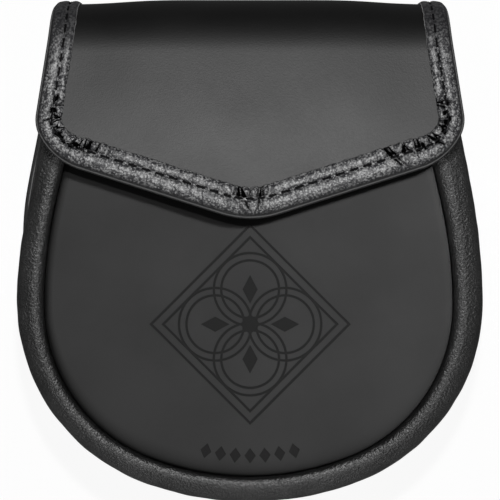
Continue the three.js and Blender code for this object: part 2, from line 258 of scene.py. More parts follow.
def smooth_row(rows, column, along):
    """A smooth value between the rows of a table, by its first column"""
    places, values = rows[:, 0], rows[:, column]
    last = len(rows) - 1
    index = np.arange(last + 1)
    before, after = np.maximum(index - 1, 0), np.minimum(index + 1, last)
    slopes = (values[after] - values[before]) / (places[after] - places[before])
    share = np.clip(along, 0, 1)
    low = np.clip(np.searchsorted(places, share, side="left") - 1, 0, last - 1)
    span = places[low + 1] - places[low]
    t = (share - places[low]) / span
    return (
        (2 * t**3 - 3 * t**2 + 1) * values[low]
        + (t**3 - 2 * t**2 + t) * span * slopes[low]
        + (3 * t**2 - 2 * t**3) * values[low + 1]
        + (t**3 - t**2) * span * slopes[low + 1]
    )


def spline(knots, share):
    """Places on a smooth curve through the knots, for shares of 0 to 1"""
    last = len(knots) - 1
    place = np.clip(share, 0, 1) * last
    low = np.clip(np.floor(place).astype(int), 0, last - 1)
    t = (place - low)[..., None]
    p0, p1 = knots[np.maximum(low - 1, 0)], knots[low]
    p2, p3 = knots[low + 1], knots[np.minimum(low + 2, last)]
    m1, m2 = (p2 - p0) / 2, (p3 - p1) / 2
    return (
        (2 * p1 - 2 * p2 + m1 + m2) * t**3
        + (-3 * p1 + 3 * p2 - 2 * m1 - m2) * t**2
        + m1 * t
        + p1
    )


def ring_at(distance):
    """The seam, the bulge and the back's edge, as insets from the body outline"""
    along = np.abs(distance) / BODY_LENGTH
    left = distance < 0
    left_ring, right_ring, reveal = (smooth_row(RING_ROWS, column, along) for column in (1, 2, 3))
    seam = RING_WIDTH * np.where(left, left_ring, right_ring)
    shown = np.where(left, reveal, 0)
    bulge = np.where(left, BULGE_SET_IN * shown, RIGHT_SET_IN * smoothstep(along, 0.5, 0.75))
    return seam, bulge, BACK_SET_IN - (BACK_SET_IN + BACK_REVEAL) * shown


def filled_in(distance, inset, spine_inset, inward):
    """Places from an inset of the body outline, at 0 or less, to the middle line, at 1"""
    share = np.clip(inward, 0, 1)
    x, y = BODY_OUTLINE.place(distance, inset)
    spine = np.clip(BODY_OUTLINE.place(distance, spine_inset)[1], SPINE_LOW, MOUTH_Y)
    return x * (1 - share), y + (spine - y) * share


def back_outer_level(y):
    return (y - RIM_Y) * math.tan(BACK_TILT)


def back_inner_level(y):
    return back_outer_level(y) + BACK_THICKNESS / math.cos(BACK_TILT)


FLAP_SIDE_LEAN = math.radians(8.9)
FLAP_OUTLINE = Outline(
    BOTTOM_Y + FLAP_TIP_RISE,
    [
        (34.0, math.radians(17.6)),
        (None, 51.66),
        (23.4, math.radians(46.2)),
        (12.3, math.radians(90 - 17.6 - 46.2) + FLAP_SIDE_LEAN),
        (None, 21.92),
        (-110.0, FLAP_SIDE_LEAN - math.radians(3.6)),
        (None, 1.0),
    ],
)
CORNER_START = FLAP_OUTLINE.runs[2][3]
CORNER_END = FLAP_OUTLINE.runs[4][3]

# The section of the binding: inset from the lip and height off the flap, from the upper cut edge
# over the two strands, round the lip and back along the lining
BINDING_TOP = GAP + BINDING_WALL
BINDING_UNDER = -FLAP_THICKNESS - GAP - BINDING_WALL
STITCH_IN = 5.8
BINDING_OUTER = np.array(
    [
        (BINDING_WIDTH - 0.15, GAP - 0.12), (BINDING_WIDTH, GAP + 0.2),
        (BINDING_WIDTH - 0.3, GAP + 0.75), (BINDING_WIDTH - 0.8, BINDING_TOP + 0.1),
        (BINDING_WIDTH - 1.6, BINDING_TOP + 0.35), (STITCH_IN + 0.75, BINDING_TOP + 0.15),
        (STITCH_IN + 0.2, BINDING_TOP - 0.45), (STITCH_IN - 0.2, BINDING_TOP - 0.45),
        (STITCH_IN - 0.75, BINDING_TOP + 0.2), (4.2, BINDING_TOP + 0.45),
        (3.0, BINDING_TOP + 0.25), (2.1, BINDING_TOP - 0.35),
        (1.5, BINDING_TOP - 0.85), (1.05, BINDING_TOP - 1.28),
        (0.72, BINDING_TOP - 1.62), (0.45, BINDING_TOP - 1.92),
        (0.22, BINDING_TOP - 2.2), (0.06, BINDING_TOP - 2.45),
        (0.0, -1.1), (0.0, -FLAP_THICKNESS + 0.2),
        (0.45, BINDING_UNDER + 0.75), (1.6, BINDING_UNDER + 0.05),
        (4.5, BINDING_UNDER), (BINDING_WIDTH, BINDING_UNDER),
    ]
)
BINDING_INNER = np.array(
    [
        (BINDING_WIDTH, BINDING_UNDER), (BINDING_WIDTH, BINDING_UNDER + BINDING_WALL),
        (5.0, BINDING_UNDER + BINDING_WALL), (BINDING_WALL, BINDING_UNDER + BINDING_WALL),
        (BINDING_WALL, -1.2), (BINDING_WALL, GAP - 0.7),
        (BINDING_WALL + 0.4, GAP - 0.02), (5.0, GAP),
        (BINDING_WIDTH - 0.15, GAP - 0.12),
    ]
)


class Fold:
    """The arc over the top, which touches the flap's front line and its sewn strip"""

    def __init__(self):
        binding_stand = BINDING_TOP + 0.3
        top_y = HEIGHT / 2 - binding_stand
        front = FRONT_LEVEL + CREST_RISE + GAP + BINDING_WALL + GAP + FLAP_THICKNESS
        rear = back_outer_level(MOUTH_Y) - (GAP + FLAP_THICKNESS) / math.cos(BACK_TILT)
        front_out = front * math.cos(FLAP_LEAN) + MOUTH_Y * math.sin(FLAP_LEAN)
        rear_out = MOUTH_Y * math.sin(BACK_TILT) - rear * math.cos(BACK_TILT)
        ratio = math.cos(BACK_TILT) / math.cos(FLAP_LEAN)
        sines = math.sin(BACK_TILT) + ratio * math.sin(FLAP_LEAN)
        self.radius = (rear_out + ratio * front_out - top_y * sines) / (1 + ratio - sines)
        self.y = top_y - self.radius
        self.z = (front_out - self.radius - math.sin(FLAP_LEAN) * self.y) / math.cos(FLAP_LEAN)
        self.turn = math.pi - FLAP_LEAN - BACK_TILT
        self.length = self.radius * self.turn
        self.start = self.y + self.radius * math.sin(FLAP_LEAN)
        self.end = self.start + self.length

    def place(self, x, along, off):
        """Points of the flap: sideways, along the leather from the tip, and off its face"""
        gone = along - self.start
        heading = -FLAP_LEAN - np.clip(gone / self.radius, 0, self.turn)
        past = np.where(gone < 0, gone, np.maximum(gone - self.length, 0))
        reach = self.radius + off
        return (
            x + 0 * along,
            self.y - reach * np.sin(heading) + past * np.cos(heading),
            self.z + reach * np.cos(heading) + past * np.sin(heading),
        )


FOLD = Fold()
FLAP_LENGTH = FLAP_OUTLINE.distance_at(FOLD.end + FLAP_SEWN_STRIP)
BINDING_LENGTH = FLAP_OUTLINE.distance_at(FOLD.end - FOLD.length / FOLD_STEPS)


def binding_spread(distance):
    """The binding is folded wider along the lower edges than up the sides"""
    along = np.abs(distance)
    return 1 + 0.2 * (1 - smoothstep(along, CORNER_START - 2, CORNER_START + 16))


def flap_swell(x, along):
    """How far the sheet swells between its bound edges"""
    stops = np.linspace(-FLAP_LENGTH, FLAP_LENGTH, 240)
    edge_x, edge_y = FLAP_OUTLINE.place(stops)
    in_x, in_y = FLAP_OUTLINE.place(stops, 1.0)
    away = np.full(x.shape, np.inf)
    for ex, ey, nx, ny in zip(edge_x, edge_y, in_x - edge_x, in_y - edge_y):
        away = np.minimum(away, (x - ex) * nx + (along - ey) * ny)
    flat = smoothstep(along, FOLD.start + FOLD.length / 2, FOLD.end)
    return FLAP_CROWN * smoothstep(away - BINDING_WIDTH, 0, FLAP_CROWN_REACH) * (1 - flat)


def waves(points, size, seed=0.0):
    """Smooth noise of about -1 to 1 at points in millimetres"""
    return np.array([noise.noise(Vector(p) / size + Vector((seed, seed, seed))) for p in points])


# Modelling helpers


def deselect():
    if bpy.context.object and bpy.context.object.mode != "OBJECT":
        bpy.ops.object.mode_set(mode="OBJECT")
    bpy.ops.object.select_all(action="DESELECT")


def activate(piece):
    deselect()
    piece.select_set(True)
    bpy.context.view_layer.objects.active = piece


def finish_with(piece, kind, **settings):
    """Adds a modifier and applies it"""
    activate(piece)
    modifier = piece.modifiers.new(kind.title(), kind)
    for name, value in settings.items():
        setattr(modifier, name, value)
    bpy.ops.object.modifier_apply(modifier=modifier.name)


def formed_sheet(name, columns, rows, form, lay=None):
    """A flat grid whose vertices are pressed into place; form takes shares across and along"""
    deselect()
    bpy.ops.mesh.primitive_grid_add(x_subdivisions=columns, y_subdivisions=rows, size=2)
    piece = bpy.context.object
    piece.name = name
    mesh = piece.data
    flat = np.empty(len(mesh.vertices) * 3)
    mesh.vertices.foreach_get("co", flat)
    flat = flat.reshape(-1, 3)
    u, v = (flat[:, 0] + 1) / 2, (flat[:, 1] + 1) / 2
    placed = np.stack(form(u, v), axis=1) * MM
    mesh.vertices.foreach_set("co", placed.ravel())
    if lay:
        laid = np.stack(lay(u, v), axis=1) * MM
        corners = np.empty(len(mesh.loops), int)
        mesh.loops.foreach_get("vertex_index", corners)
        mesh.uv_layers[0].data.foreach_set("uv", laid[corners].ravel())
    mesh.update()
    return piece


def face_away(piece, centre):
    """Turns the sheet's faces away from a point in millimetres"""
    middle = Vector(centre) * MM
    outward = sum(p.area * p.normal.dot(p.center - middle) for p in piece.data.polygons)
    if outward < 0:
        piece.data.flip_normals()


def thicken(piece, thickness, offset=-1.0):
    even = {"use_even_offset": True, "use_quality_normals": True}
    finish_with(piece, "SOLIDIFY", thickness=thickness * MM, offset=offset, **even)


def bevel(piece, width, segments, angle=30):
    limit = {"limit_method": "ANGLE", "angle_limit": math.radians(angle)}
    finish_with(piece, "BEVEL", width=width * MM, segments=segments, **limit)


def edit_whole(piece, *steps):
    """Runs steps of edit mode, each an operator and its settings, on the whole mesh"""
    activate(piece)
    bpy.ops.object.mode_set(mode="EDIT")
    bpy.ops.mesh.select_all(action="SELECT")
    for step, settings in steps:
        step(**settings)
    bpy.ops.object.mode_set(mode="OBJECT")


def merge_doubles(piece, distance):
    edit_whole(piece, (bpy.ops.mesh.remove_doubles, {"threshold": distance * MM}))


def cap_ends(piece):
    """Closes the open ends of a tube"""
    facing = (bpy.ops.mesh.normals_make_consistent, {"inside": False})
    edit_whole(piece, (bpy.ops.mesh.fill_holes, {"sides": 0}), facing)


def settle(piece, material, *nodes, slot, angle=45):
    """Smooths, colours and binds a finished piece to the body, and hides the solids it stands for
    """
    activate(piece)
    bpy.ops.object.transform_apply()
    bpy.ops.object.shade_smooth_by_angle(angle=math.radians(angle))
    piece.data.materials.clear()
    piece.data.materials.append(material)
    if nodes:
        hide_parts(*nodes)
    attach(piece, BODY)
    return piece


# Materials: arithmetic on sockets is written as plain expressions


class Flow:
    """A shader value: operators on it add the nodes that work them out"""

    def __init__(self, shader, socket):
        self.shader = shader
        self.socket = socket

    def maths(self, operation, *others):
        return self.shader.node("ShaderNodeMath", {"operation": operation}, self, *others)

    def __add__(self, other):
        return self.maths("ADD", other)

    __radd__ = __add__

    def __sub__(self, other):
        return self.maths("SUBTRACT", other)

    def __rsub__(self, other):
        return self.shader.node("ShaderNodeMath", {"operation": "SUBTRACT"}, other, self)

    def __mul__(self, other):
        return self.maths("MULTIPLY", other)

    def __truediv__(self, other):
        return self.maths("DIVIDE", other)

    def __pow__(self, other):
        return self.maths("POWER", other)

    def size(self):
        return self.maths("ABSOLUTE")

    def below(self, limit):
        return self.maths("LESS_THAN", limit)

    def most(self, other):
        return self.maths("MAXIMUM", other)

    def ramp(self, low, high):
        """0 at low, 1 at high and smooth between"""
        settings = {"data_type": "FLOAT", "interpolation_type": "SMOOTHSTEP"}
        return self.shader.node("ShaderNodeMapRange", settings, self, low, high, 0.0, 1.0)


def with_alpha(value):
    """Adds the fourth channel to a colour of three, and leaves other values as they are"""
    return (*value, 1.0) if isinstance(value, (tuple, list)) and len(value) == 3 else value


class Shader:
    """A new material with a Principled BSDF and one method that adds any node"""

    def __init__(self, name):
        self.material = bpy.data.materials.new(name)
        self.material.use_nodes = True
        self.tree = self.material.node_tree
        self.surface = self.tree.nodes["Principled BSDF"]

    def node(self, kind, settings=None, *values, output=0, **named):
        added = self.tree.nodes.new(kind)
        for key, value in (settings or {}).items():
            setattr(added, key, value)
        for index, value in enumerate(values):
            self.feed(added.inputs[index], value)
        for key, value in named.items():
            self.feed(added.inputs[key.replace("_", " ")], value)
        return Flow(self, added.outputs[output])

    def feed(self, socket, value):
        if isinstance(value, Flow):
            self.tree.links.new(value.socket, socket)
        else:
            socket.default_value = value

    def object_place(self):
        return self.node("ShaderNodeTexCoord", output="Object")

    def axes(self, place):
        split = self.tree.nodes.new("ShaderNodeSeparateXYZ")
        self.feed(split.inputs[0], place)
        return [Flow(self, socket) for socket in split.outputs]

    def cloud(self, place, size, detail=3.0, roughness=0.55, distortion=0.0):
        return self.node(
            "ShaderNodeTexNoise",
            None,
            Vector=place,
            Scale=1 / size,
            Detail=detail,
            Roughness=roughness,
            Distortion=distortion,
        )

    def cells(self, place, size, feature="F1"):
        return self.node("ShaderNodeTexVoronoi", {"feature": feature}, Vector=place, Scale=1 / size)

    def mark(self, name):
        """A value that the mesh holds for each of its points"""
        return self.node("ShaderNodeAttribute", {"attribute_name": name}, output="Fac")

    def mix(self, share, low, high):
        added = self.tree.nodes.new("ShaderNodeMix")
        added.data_type = "RGBA"
        for index, value in ((0, share), (6, low), (7, high)):
            self.feed(added.inputs[index], with_alpha(value))
        return Flow(self, added.outputs[2])

    def bump(self, height, distance):
        return self.node("ShaderNodeBump", None, Height=height, Distance=distance)

    def blend(self, share, **inputs):
        """Shows a second surface where the share is high"""
        second = self.tree.nodes.new("ShaderNodeBsdfPrincipled")
        surfaces = [Flow(self, surface.outputs[0]) for surface in (self.surface, second)]
        mixed = self.node("ShaderNodeMixShader", None, share, *surfaces)
        self.feed(self.tree.nodes["Material Output"].inputs["Surface"], mixed)
        self.dress(second, **inputs)

    def dress(self, surface=None, **inputs):
        for name, value in inputs.items():
            socket = (surface or self.surface).inputs[name.replace("_", " ")]
            self.feed(socket, with_alpha(value))
        return self.material


def colours():
    return bpy.context.scene.pouch_colours


def sizes():
    return bpy.context.scene.pouch_sizes


def shade(colour, factor):
    return tuple(channel * factor for channel in colour)


def smooth_leather(name, colour, roughness, specular):
    """Fine leather: tight pores, faint clouds of wax and a little wear"""
    shader = Shader(name)
    place = shader.object_place()
    cloud = shader.cloud(place, 0.022, detail=4.0)
    fine = shader.cloud(place, 0.0011, detail=2.0)
    grain = shader.cells(place, 0.00055)
    height = grain * 0.6 + fine * 0.4
    tint = shader.mix((cloud * 1.4 - 0.2).ramp(0.2, 0.8), shade(colour, 0.86), shade(colour, 1.35))
    return shader.dress(
        Base_Color=tint,
        Roughness=roughness + (cloud - 0.5) * 0.08 + (fine - 0.5) * 0.05,
        Specular_IOR_Level=specular,
        Normal=shader.bump(height, sizes().pore_height),
    )


def pebbled_leather():
    """The binding: round pebbles whose tops are pale, partly from wear and partly as a painted
    glint, smooth on the lip; painted shade darkens the lip, the arc over the fold and the creases
    """
    shader = Shader("pebbled_leather")
    place = shader.object_place()
    grain = sizes().grain_size
    pebbles = shader.cells(place, grain, "SMOOTH_F1")
    small = shader.cells(place, grain * 0.55)
    cloud = shader.cloud(place, grain * 4, detail=3.0)
    speck = shader.cloud(place, grain * 0.8, detail=3.0, roughness=0.7)
    across = shader.axes(shader.node("ShaderNodeUVMap", {"uv_map": "UVMap"}))[1]
    lip = across.ramp(1.9 * MM, 1.0 * MM)
    height = (1 - pebbles) * 0.7 + (1 - small) * 0.3
    tops = (speck * 0.6 + (1 - pebbles) * 0.5 + (cloud - 0.5) * 0.35).ramp(0.5, 0.76)
    # Painted shade: the gathers' folds, the gaps at the corners and the slots between stitches are
    # marked to be shown black
    crease = shader.mark("crease").ramp(0.2, 0.6)
    over = shader.mark("over_fold")
    # The pale pebble tops are partly wear and partly a painted glint, so they fade on the lip and
    # over the fold, where shade falls
    worn_and_glint = tops * (1 - lip * 0.93) * (1 - over * 0.85)
    # A thin line near the lip's lower edge is painted lighter: partly the raw cut edge's colour,
    # partly a painted highlight
    edge = across.ramp(0.8 * MM, 0.6 * MM) * across.ramp(0.25 * MM, 0.4 * MM)
    # Over the fold, the binding's inner cut edge is painted lighter: partly the raw edge's own
    # colour, partly a painted highlight
    rim_cut_edge_and_highlight = across.ramp((BINDING_WIDTH - 0.22) * MM, (BINDING_WIDTH - 0.12) * MM) * over
    colour, cut = tuple(colours().binding), colours().cut_edge
    # Painted shade: the lip and the arc over the fold are darkened to a third of the binding's
    # colour
    tint = shader.mix(lip.most(over * 0.6), colour, shade(colour, 0.3))
    tint = shader.mix(worn_and_glint, tint, tuple(colours().worn_grain))
    tint = shader.mix(rim_cut_edge_and_highlight, tint, shade(cut, 0.45))
    tint = shader.mix(edge, tint, shade(cut, 0.3))
    # Painted shade: where marked, the surface is mixed to a black one that reflects nothing
    shader.blend(crease, Base_Color=(0.001, 0.001, 0.001), Roughness=1.0, Specular_IOR_Level=0.0)
    return shader.dress(
        Base_Color=tint,
        Roughness=0.48 - worn_and_glint * 0.08 + lip * 0.08,
        Specular_IOR_Level=0.34,
        Normal=shader.bump(height * (1 - lip * 0.8) * (1 - over * 0.6), sizes().grain_height),
    )


def soft_leather():
    """The gusset: small crumpled grain that catches the light where it rolls over"""
    shader = Shader("soft_leather")
    place = shader.object_place()
    cells = shader.cells(place, 0.0007, "SMOOTH_F1")
    crumple = shader.cloud(place, 0.0011, detail=3.0, roughness=0.65, distortion=0.4)
    cloud = shader.cloud(place, 0.014)
    height = crumple * 0.6 + cells * 0.4
    colour, crumple_height = colours().gusset, 0.0005
    tint = shader.mix(cloud.ramp(0.3, 0.7), shade(colour, 0.8), shade(colour, 1.25))
    return shader.dress(
        Base_Color=tint,
        Roughness=0.43 + (crumple - 0.5) * 0.2,
        Specular_IOR_Level=0.09,
        Normal=shader.bump(height, crumple_height),
    )


def engraved_leather():
    """The front: matte leather into which the ornament is burnt"""
    shader = Shader("engraved_leather")
    place = shader.object_place()
    cloud = shader.cloud(place, 0.03, detail=4.0)
    fine = shader.cloud(place, 0.0009, detail=2.0)
    mask = ornament(shader, place)
    colour = colours().panel
    plain = shader.mix(cloud.ramp(0.3, 0.7), shade(colour, 0.93), shade(colour, 1.08))
    tint = shader.mix(mask, plain, tuple(colours().engraving))
    height = fine * 0.35 - mask * (sizes().ornament_depth / sizes().pore_height)
    return shader.dress(
        Base_Color=tint,
        Roughness=0.8 + (fine - 0.5) * 0.06 - mask * 0.1,
        Specular_IOR_Level=0.03,
        Normal=shader.bump(height, sizes().pore_height),
    )


def stroke(distance, width):
    """1 on a line of the given width, from the distance to its middle"""
    return distance.size().ramp(width / 2 + 0.00006, width / 2 - 0.00006)


def ornament(shader, place):
    """Mask of the generic ornament: a four-loop knot in a diamond, and an arc of lozenges"""
    x, y, _ = shader.axes(place)
    up = y + ORNAMENT_DROP * MM
    ring_offset, ring_radius, diamond_size = 12.2 * MM, 11.4 * MM, 23.0 * MM
    double, line = 1.3 * MM, 0.85 * MM
    parts = []
    for cx, cy in ((1, 0), (-1, 0), (0, 1), (0, -1)):
        leaf_x, leaf_y = x - cx * ring_offset, up - cy * ring_offset
        far = (leaf_x**2.0 + leaf_y**2.0) ** 0.5
        parts.append(stroke((far - ring_radius).size() - double, line))
        reach = leaf_x.size() * (1.0 if cx else 1.9) + leaf_y.size() * (1.0 if cy else 1.9)
        parts.append(reach.ramp(5.1 * MM, 4.95 * MM))
    diamond = ((x.size() + up.size()) * math.sqrt(0.5) - diamond_size).size()
    parts.append(stroke(diamond - double * 1.15, line))
    centre = (x.size() + up.size()) * 0.5 + x.size().most(up.size()) * 0.5
    parts.append(centre.ramp(3.3 * MM, 3.15 * MM))
    row_y = y + ROW_DROP * MM
    angle = shader.node("ShaderNodeMath", {"operation": "ARCTAN2"}, x, ROW_RADIUS * MM - row_y)
    far = (x**2.0 + (row_y - ROW_RADIUS * MM) ** 2.0) ** 0.5 - ROW_RADIUS * MM
    step = ROW_PITCH / ROW_RADIUS
    turns = angle / step
    beat = (turns - shader.node("ShaderNodeMath", {"operation": "ROUND"}, turns)) * (ROW_PITCH * MM)
    inside = angle.size().below(step * (ROW_COUNT / 2))
    lozenge = (beat.size() * 1.35 + far.size()).ramp(2.75 * MM, 2.6 * MM)
    parts.append(lozenge * inside)
    mask = parts[0]
    for part in parts[1:]:
        mask = mask.most(part)
    return mask


def plain_finish(name, colour, roughness, specular=0.5):
    """Thread and enamel: an even colour with a faint texture of its own"""
    shader = Shader(name)
    place = shader.object_place()
    twist = shader.cloud(place, 0.0005, detail=2.0)
    return shader.dress(
        Base_Color=shader.mix(twist, shade(colour, 0.7), shade(colour, 1.3)),
        Roughness=roughness + (twist - 0.5) * 0.15,
        Specular_IOR_Level=specular,
        Normal=shader.bump(twist, 0.00004),
    )


def waxed_thread():
    return bpy.data.materials.get("waxed_thread") or plain_finish(
        "waxed_thread", tuple(colours().thread), 0.75, 0.12
    )


# Pieces


def sew(name, places, length, material, slot):
    """A row of stitches: one is modelled, then copied to each place, direction and face"""
    deselect()
    bpy.ops.mesh.primitive_uv_sphere_add(segments=sizes().stitch_sides, ring_count=6, radius=0.5)
    first = bpy.context.object
    bpy.ops.transform.resize(value=(length, sizes().thread_width, sizes().thread_width))
    bpy.ops.object.transform_apply()
    copies = []
    for place, along, up in places:
        across = up.cross(along).normalized()
        turned = Matrix((along.normalized(), across, along.cross(across).normalized())).transposed()
        copy = first.copy()
        copy.data = first.data.copy()
        copy.data.transform(Matrix.Translation(place) @ turned.to_4x4())
        bpy.context.collection.objects.link(copy)
        copies.append(copy)
    bpy.data.objects.remove(first)
    deselect()
    for copy in copies:
        copy.select_set(True)
    bpy.context.view_layer.objects.active = copies[0]
    bpy.ops.object.join()
    row = bpy.context.object
    row.name = name
    return settle(row, material, slot=slot, angle=60)


def row_places(point, start, end, pitch):
    """Places, directions and faces of stitches; point takes a distance along and one aside"""
    probe = 0.5
    count = max(1, round((end - start) / pitch))
    step = (end - start) / count
    places = []
    for index in range(count):
        middle = start + (index + 0.5) * step
        spots = ((middle, 0), (middle + probe, 0), (middle, probe))
        here, ahead, beside = (Vector(point(*spot)) * MM for spot in spots)
        along = (ahead - here).normalized()
        up = along.cross(beside - here).normalized()
        places.append((here, along, up))
    return places


class SPORRAN_OT_gusset(Operator):
    """Make the soft gusset round the sides and the bottom"""

    bl_idname = "sporran.gusset"
    bl_label = "Gusset"

    def execute(self, context):
        wave = sizes().wrinkle_height / MM
        wave_size, section_length = 6.5, 70

        def form(u, v):
            distance = (2 * u - 1) * BODY_LENGTH
            seam, bulge, _ = ring_at(distance)
            section = spline(GUSSET_ROWS, v)
            half = GUSSET_WALL / 2
            inset = seam - half - section[:, 0] * (seam - bulge - GUSSET_WALL)
            x, y = BODY_OUTLINE.place(distance, inset)
            low = back_inner_level(y) + GAP + half
            high = FRONT_LEVEL + CREST_RISE - half
            level = low + (high - low) * section[:, 1]
            free = smoothstep(v, 0.12, 0.3) * (1 - smoothstep(v, 0.85, 0.97))
            crumple = waves(np.stack((distance, 60 * v, 0 * v), axis=1), wave_size)
            inset = inset - crumple * wave * free
            x, y = BODY_OUTLINE.place(distance, inset)
            return x, y, level + crumple * wave * free * 0.4 * smoothstep(v, 0.5, 0.7)

        def lay(u, v):
            return (2 * u - 1) * BODY_LENGTH, section_length * v

        piece = formed_sheet("gusset_leather", 420, 54, form, lay)
        face_away(piece, (0, 0, 20))
        thicken(piece, GUSSET_WALL, 0.0)
        settle(piece, soft_leather(), "gusset", slot="gusset_leather")
        return {"FINISHED"}


class SPORRAN_OT_front_panel(Operator):
    """Make the rolled front panel with its ornament"""

    bl_idname = "sporran.front_panel"
    bl_label = "Front panel"

    def execute(self, context):
        flange_rows, roll_rows, face_rows = 4, 12, 16
        rows = flange_rows + roll_rows + face_rows

        def form(u, v):
            distance = (2 * u - 1) * BODY_LENGTH
            seam, _, _ = ring_at(distance)
            along = np.abs(distance) / BODY_LENGTH
            width = PANEL_ROLL_WIDTH * (1 - 0.5 * smoothstep(along, 0.15, 0.6))
            step = v * rows
            angle = np.clip((step - flange_rows) / roll_rows, 0, 1) * math.pi / 2
            drop = PANEL_ROLL_DEPTH * (1 - np.sin(angle))
            deeper = (PANEL_FLANGE - PANEL_ROLL_DEPTH) * np.clip(1 - step / flange_rows, 0, 1)
            inset = seam + GAP + width * (1 - np.cos(angle))
            inward = (step - flange_rows - roll_rows) / face_rows
            x, y = filled_in(distance, inset, RING_WIDTH, inward)
            return x, np.minimum(y, MOUTH_Y), FRONT_LEVEL - drop - deeper

        piece = formed_sheet("front_panel_leather", 360, rows, form)
        merge_doubles(piece, 0.02)
        face_away(piece, (0, 0, -1000))
        thicken(piece, PANEL_THICKNESS)
        settle(piece, engraved_leather(), "front_panel", slot="panel_leather", angle=50)
        return {"FINISHED"}


class SPORRAN_OT_back_panel(Operator):
    """Make the flat back with its bevelled edge, its seam welt and its row of stitches"""

    bl_idname = "sporran.back_panel"
    bl_label = "Back panel"

    def execute(self, context):
        def form(u, v):
            distance = (2 * u - 1) * BODY_LENGTH
            x, y = filled_in(distance, ring_at(distance)[2], BACK_SET_IN, v)
            return x, np.minimum(y, MOUTH_Y), back_outer_level(y)

        piece = formed_sheet("back_leather", 240, 15, form)
        merge_doubles(piece, 0.02)
        face_away(piece, (0, 0, 1000))
        thicken(piece, BACK_THICKNESS)
        bevel(piece, 0.5, 2, 50)
        material = smooth_leather("back_leather", tuple(colours().back), 0.55, 0.4)
        settle(piece, material, "back_panel", slot="back_leather", angle=50)

        welt_radius, welt_in, stitch_in, ends = 0.22, 1.45, 3.2, BODY_LENGTH - 12

        def welt_form(u, v):
            distance = (2 * u - 1) * BODY_LENGTH
            _, bulge, edge = ring_at(distance)
            turned = 2 * math.pi * v
            hidden = 1.2 * (1 - bulge / BULGE_SET_IN)
            inset = edge + welt_in + hidden + welt_radius * np.cos(turned)
            x, y = BODY_OUTLINE.place(distance, inset)
            return x, y, back_inner_level(y) + 0.24 + welt_radius * np.sin(turned)

        welt = formed_sheet("seam_welt", 300, 8, welt_form)
        merge_doubles(welt, 0.005)
        face_away(welt, (0, 0, 10))
        cap_ends(welt)
        cut = plain_finish("cut_edge", tuple(colours().cut_edge), 0.6)
        settle(welt, cut, slot="back_leather", angle=60)

        def rim_point(distance, side):
            x, y = BODY_OUTLINE.place(np.array([distance]), BACK_SET_IN + stitch_in + side)
            return float(x[0]), float(y[0]), max(float(back_outer_level(y)[0]) - 0.08, 0.36)

        places = row_places(rim_point, -ends, ends, sizes().stitch_pitch / MM)
        sew("rim_stitches", places, sizes().stitch_length, waxed_thread(), "back_leather")
        return {"FINISHED"}


class SPORRAN_OT_flap(Operator):
    """Make the folded flap sheet"""

    bl_idname = "sporran.flap"
    bl_label = "Flap"

    def execute(self, context):
        inset = BINDING_WALL + GAP
        corner = (CORNER_START + CORNER_END) / 2

        def edge(distance):
            return np.stack(FLAP_OUTLINE.place(distance, inset), axis=1)

        def flat_place(u, v):
            bottom = edge((2 * u - 1) * corner)
            side = corner + (FLAP_LENGTH - corner) * v
            left, right = edge(-side), edge(side)
            ends = [edge(np.array([d]))[0] for d in (-corner, corner, -FLAP_LENGTH, FLAP_LENGTH)]
            a, b = u[:, None], v[:, None]
            top = ends[2] * (1 - a) + ends[3] * a
            corners = (1 - a) * (1 - b) * ends[0] + a * (1 - b) * ends[1]
            corners = corners + (1 - a) * b * ends[2] + a * b * ends[3]
            flat = (1 - b) * bottom + b * top + (1 - a) * left + a * right - corners
            return flat[:, 0], flat[:, 1]

        cells, smoothing_passes = 120, 70

        def form(u, v):
            x, along = flat_place(u, v)
            swell = flap_swell(x, along).reshape(cells + 1, cells + 1)
            for _ in range(smoothing_passes):
                swell[1:-1] = (swell[:-2] + 2 * swell[1:-1] + swell[2:]) / 4
                swell[:, 1:-1] = (swell[:, :-2] + 2 * swell[:, 1:-1] + swell[:, 2:]) / 4
            return FOLD.place(x, along, swell.ravel())

        piece = formed_sheet("flap_leather", cells, cells, form, flat_place)
        face_away(piece, (0, FOLD.y, FOLD.z))
        thicken(piece, FLAP_THICKNESS)
        material = smooth_leather("flap_leather", tuple(colours().flap), 0.58, 0.5)
        settle(piece, material, "flap", slot="flap_leather", angle=50)

        row_below_fold, thread_lift, margin = 9.5, 0.1, 14

        def strip_point(across, side):
            along = np.array([FOLD.end + row_below_fold + side])
            place = FOLD.place(across, along, thread_lift)
            return [float(value) for value in np.ravel(place)]

        half = FLAP_OUTLINE.place(np.array([FLAP_LENGTH]))[0][0] - margin
        places = row_places(strip_point, -half, half, sizes().stitch_pitch / MM)
        sew("strip_stitches", places, sizes().stitch_length, waxed_thread(), "flap_leather")
        return {"FINISHED"}


def binding_place(distance, inset, off):
    x, along = FLAP_OUTLINE.place(distance, inset)
    return FOLD.place(x, along, off)


def over_fold(distance):
    """0 on the flap's front and 1 on the arc over the top, where the binding is pulled flat and
    given painted shade
    """
    return smoothstep(FLAP_OUTLINE.place(distance)[1], FOLD.start - 10, FOLD.start + 14)


def creases():
    """Places, depths, widths and slants of the gathers, uneven as fingers leave them"""
    rows = []
    chance = np.random.default_rng(41)
    pitch = sizes().pleat_pitch / MM
    corner_low, corner_high = CORNER_START - 12, CORNER_END + 11
    for low, high in ((-11, 11), (corner_low, corner_high), (-corner_high, -corner_low)):
        place = low
        while place < high:
            size, width, slant, reach = chance.uniform(0, 1, 4)
            fade = min(1.0, (place - low) / 5 + 0.25, (high - place) / 5 + 0.25)
            depth, width = fade * (0.3 + 0.7 * size), 0.24 + 0.38 * width**2
            rows.append((place, depth, width, 1.6 * slant - 0.8, reach))
            place += pitch * chance.uniform(0.55, 1.75)
    return rows


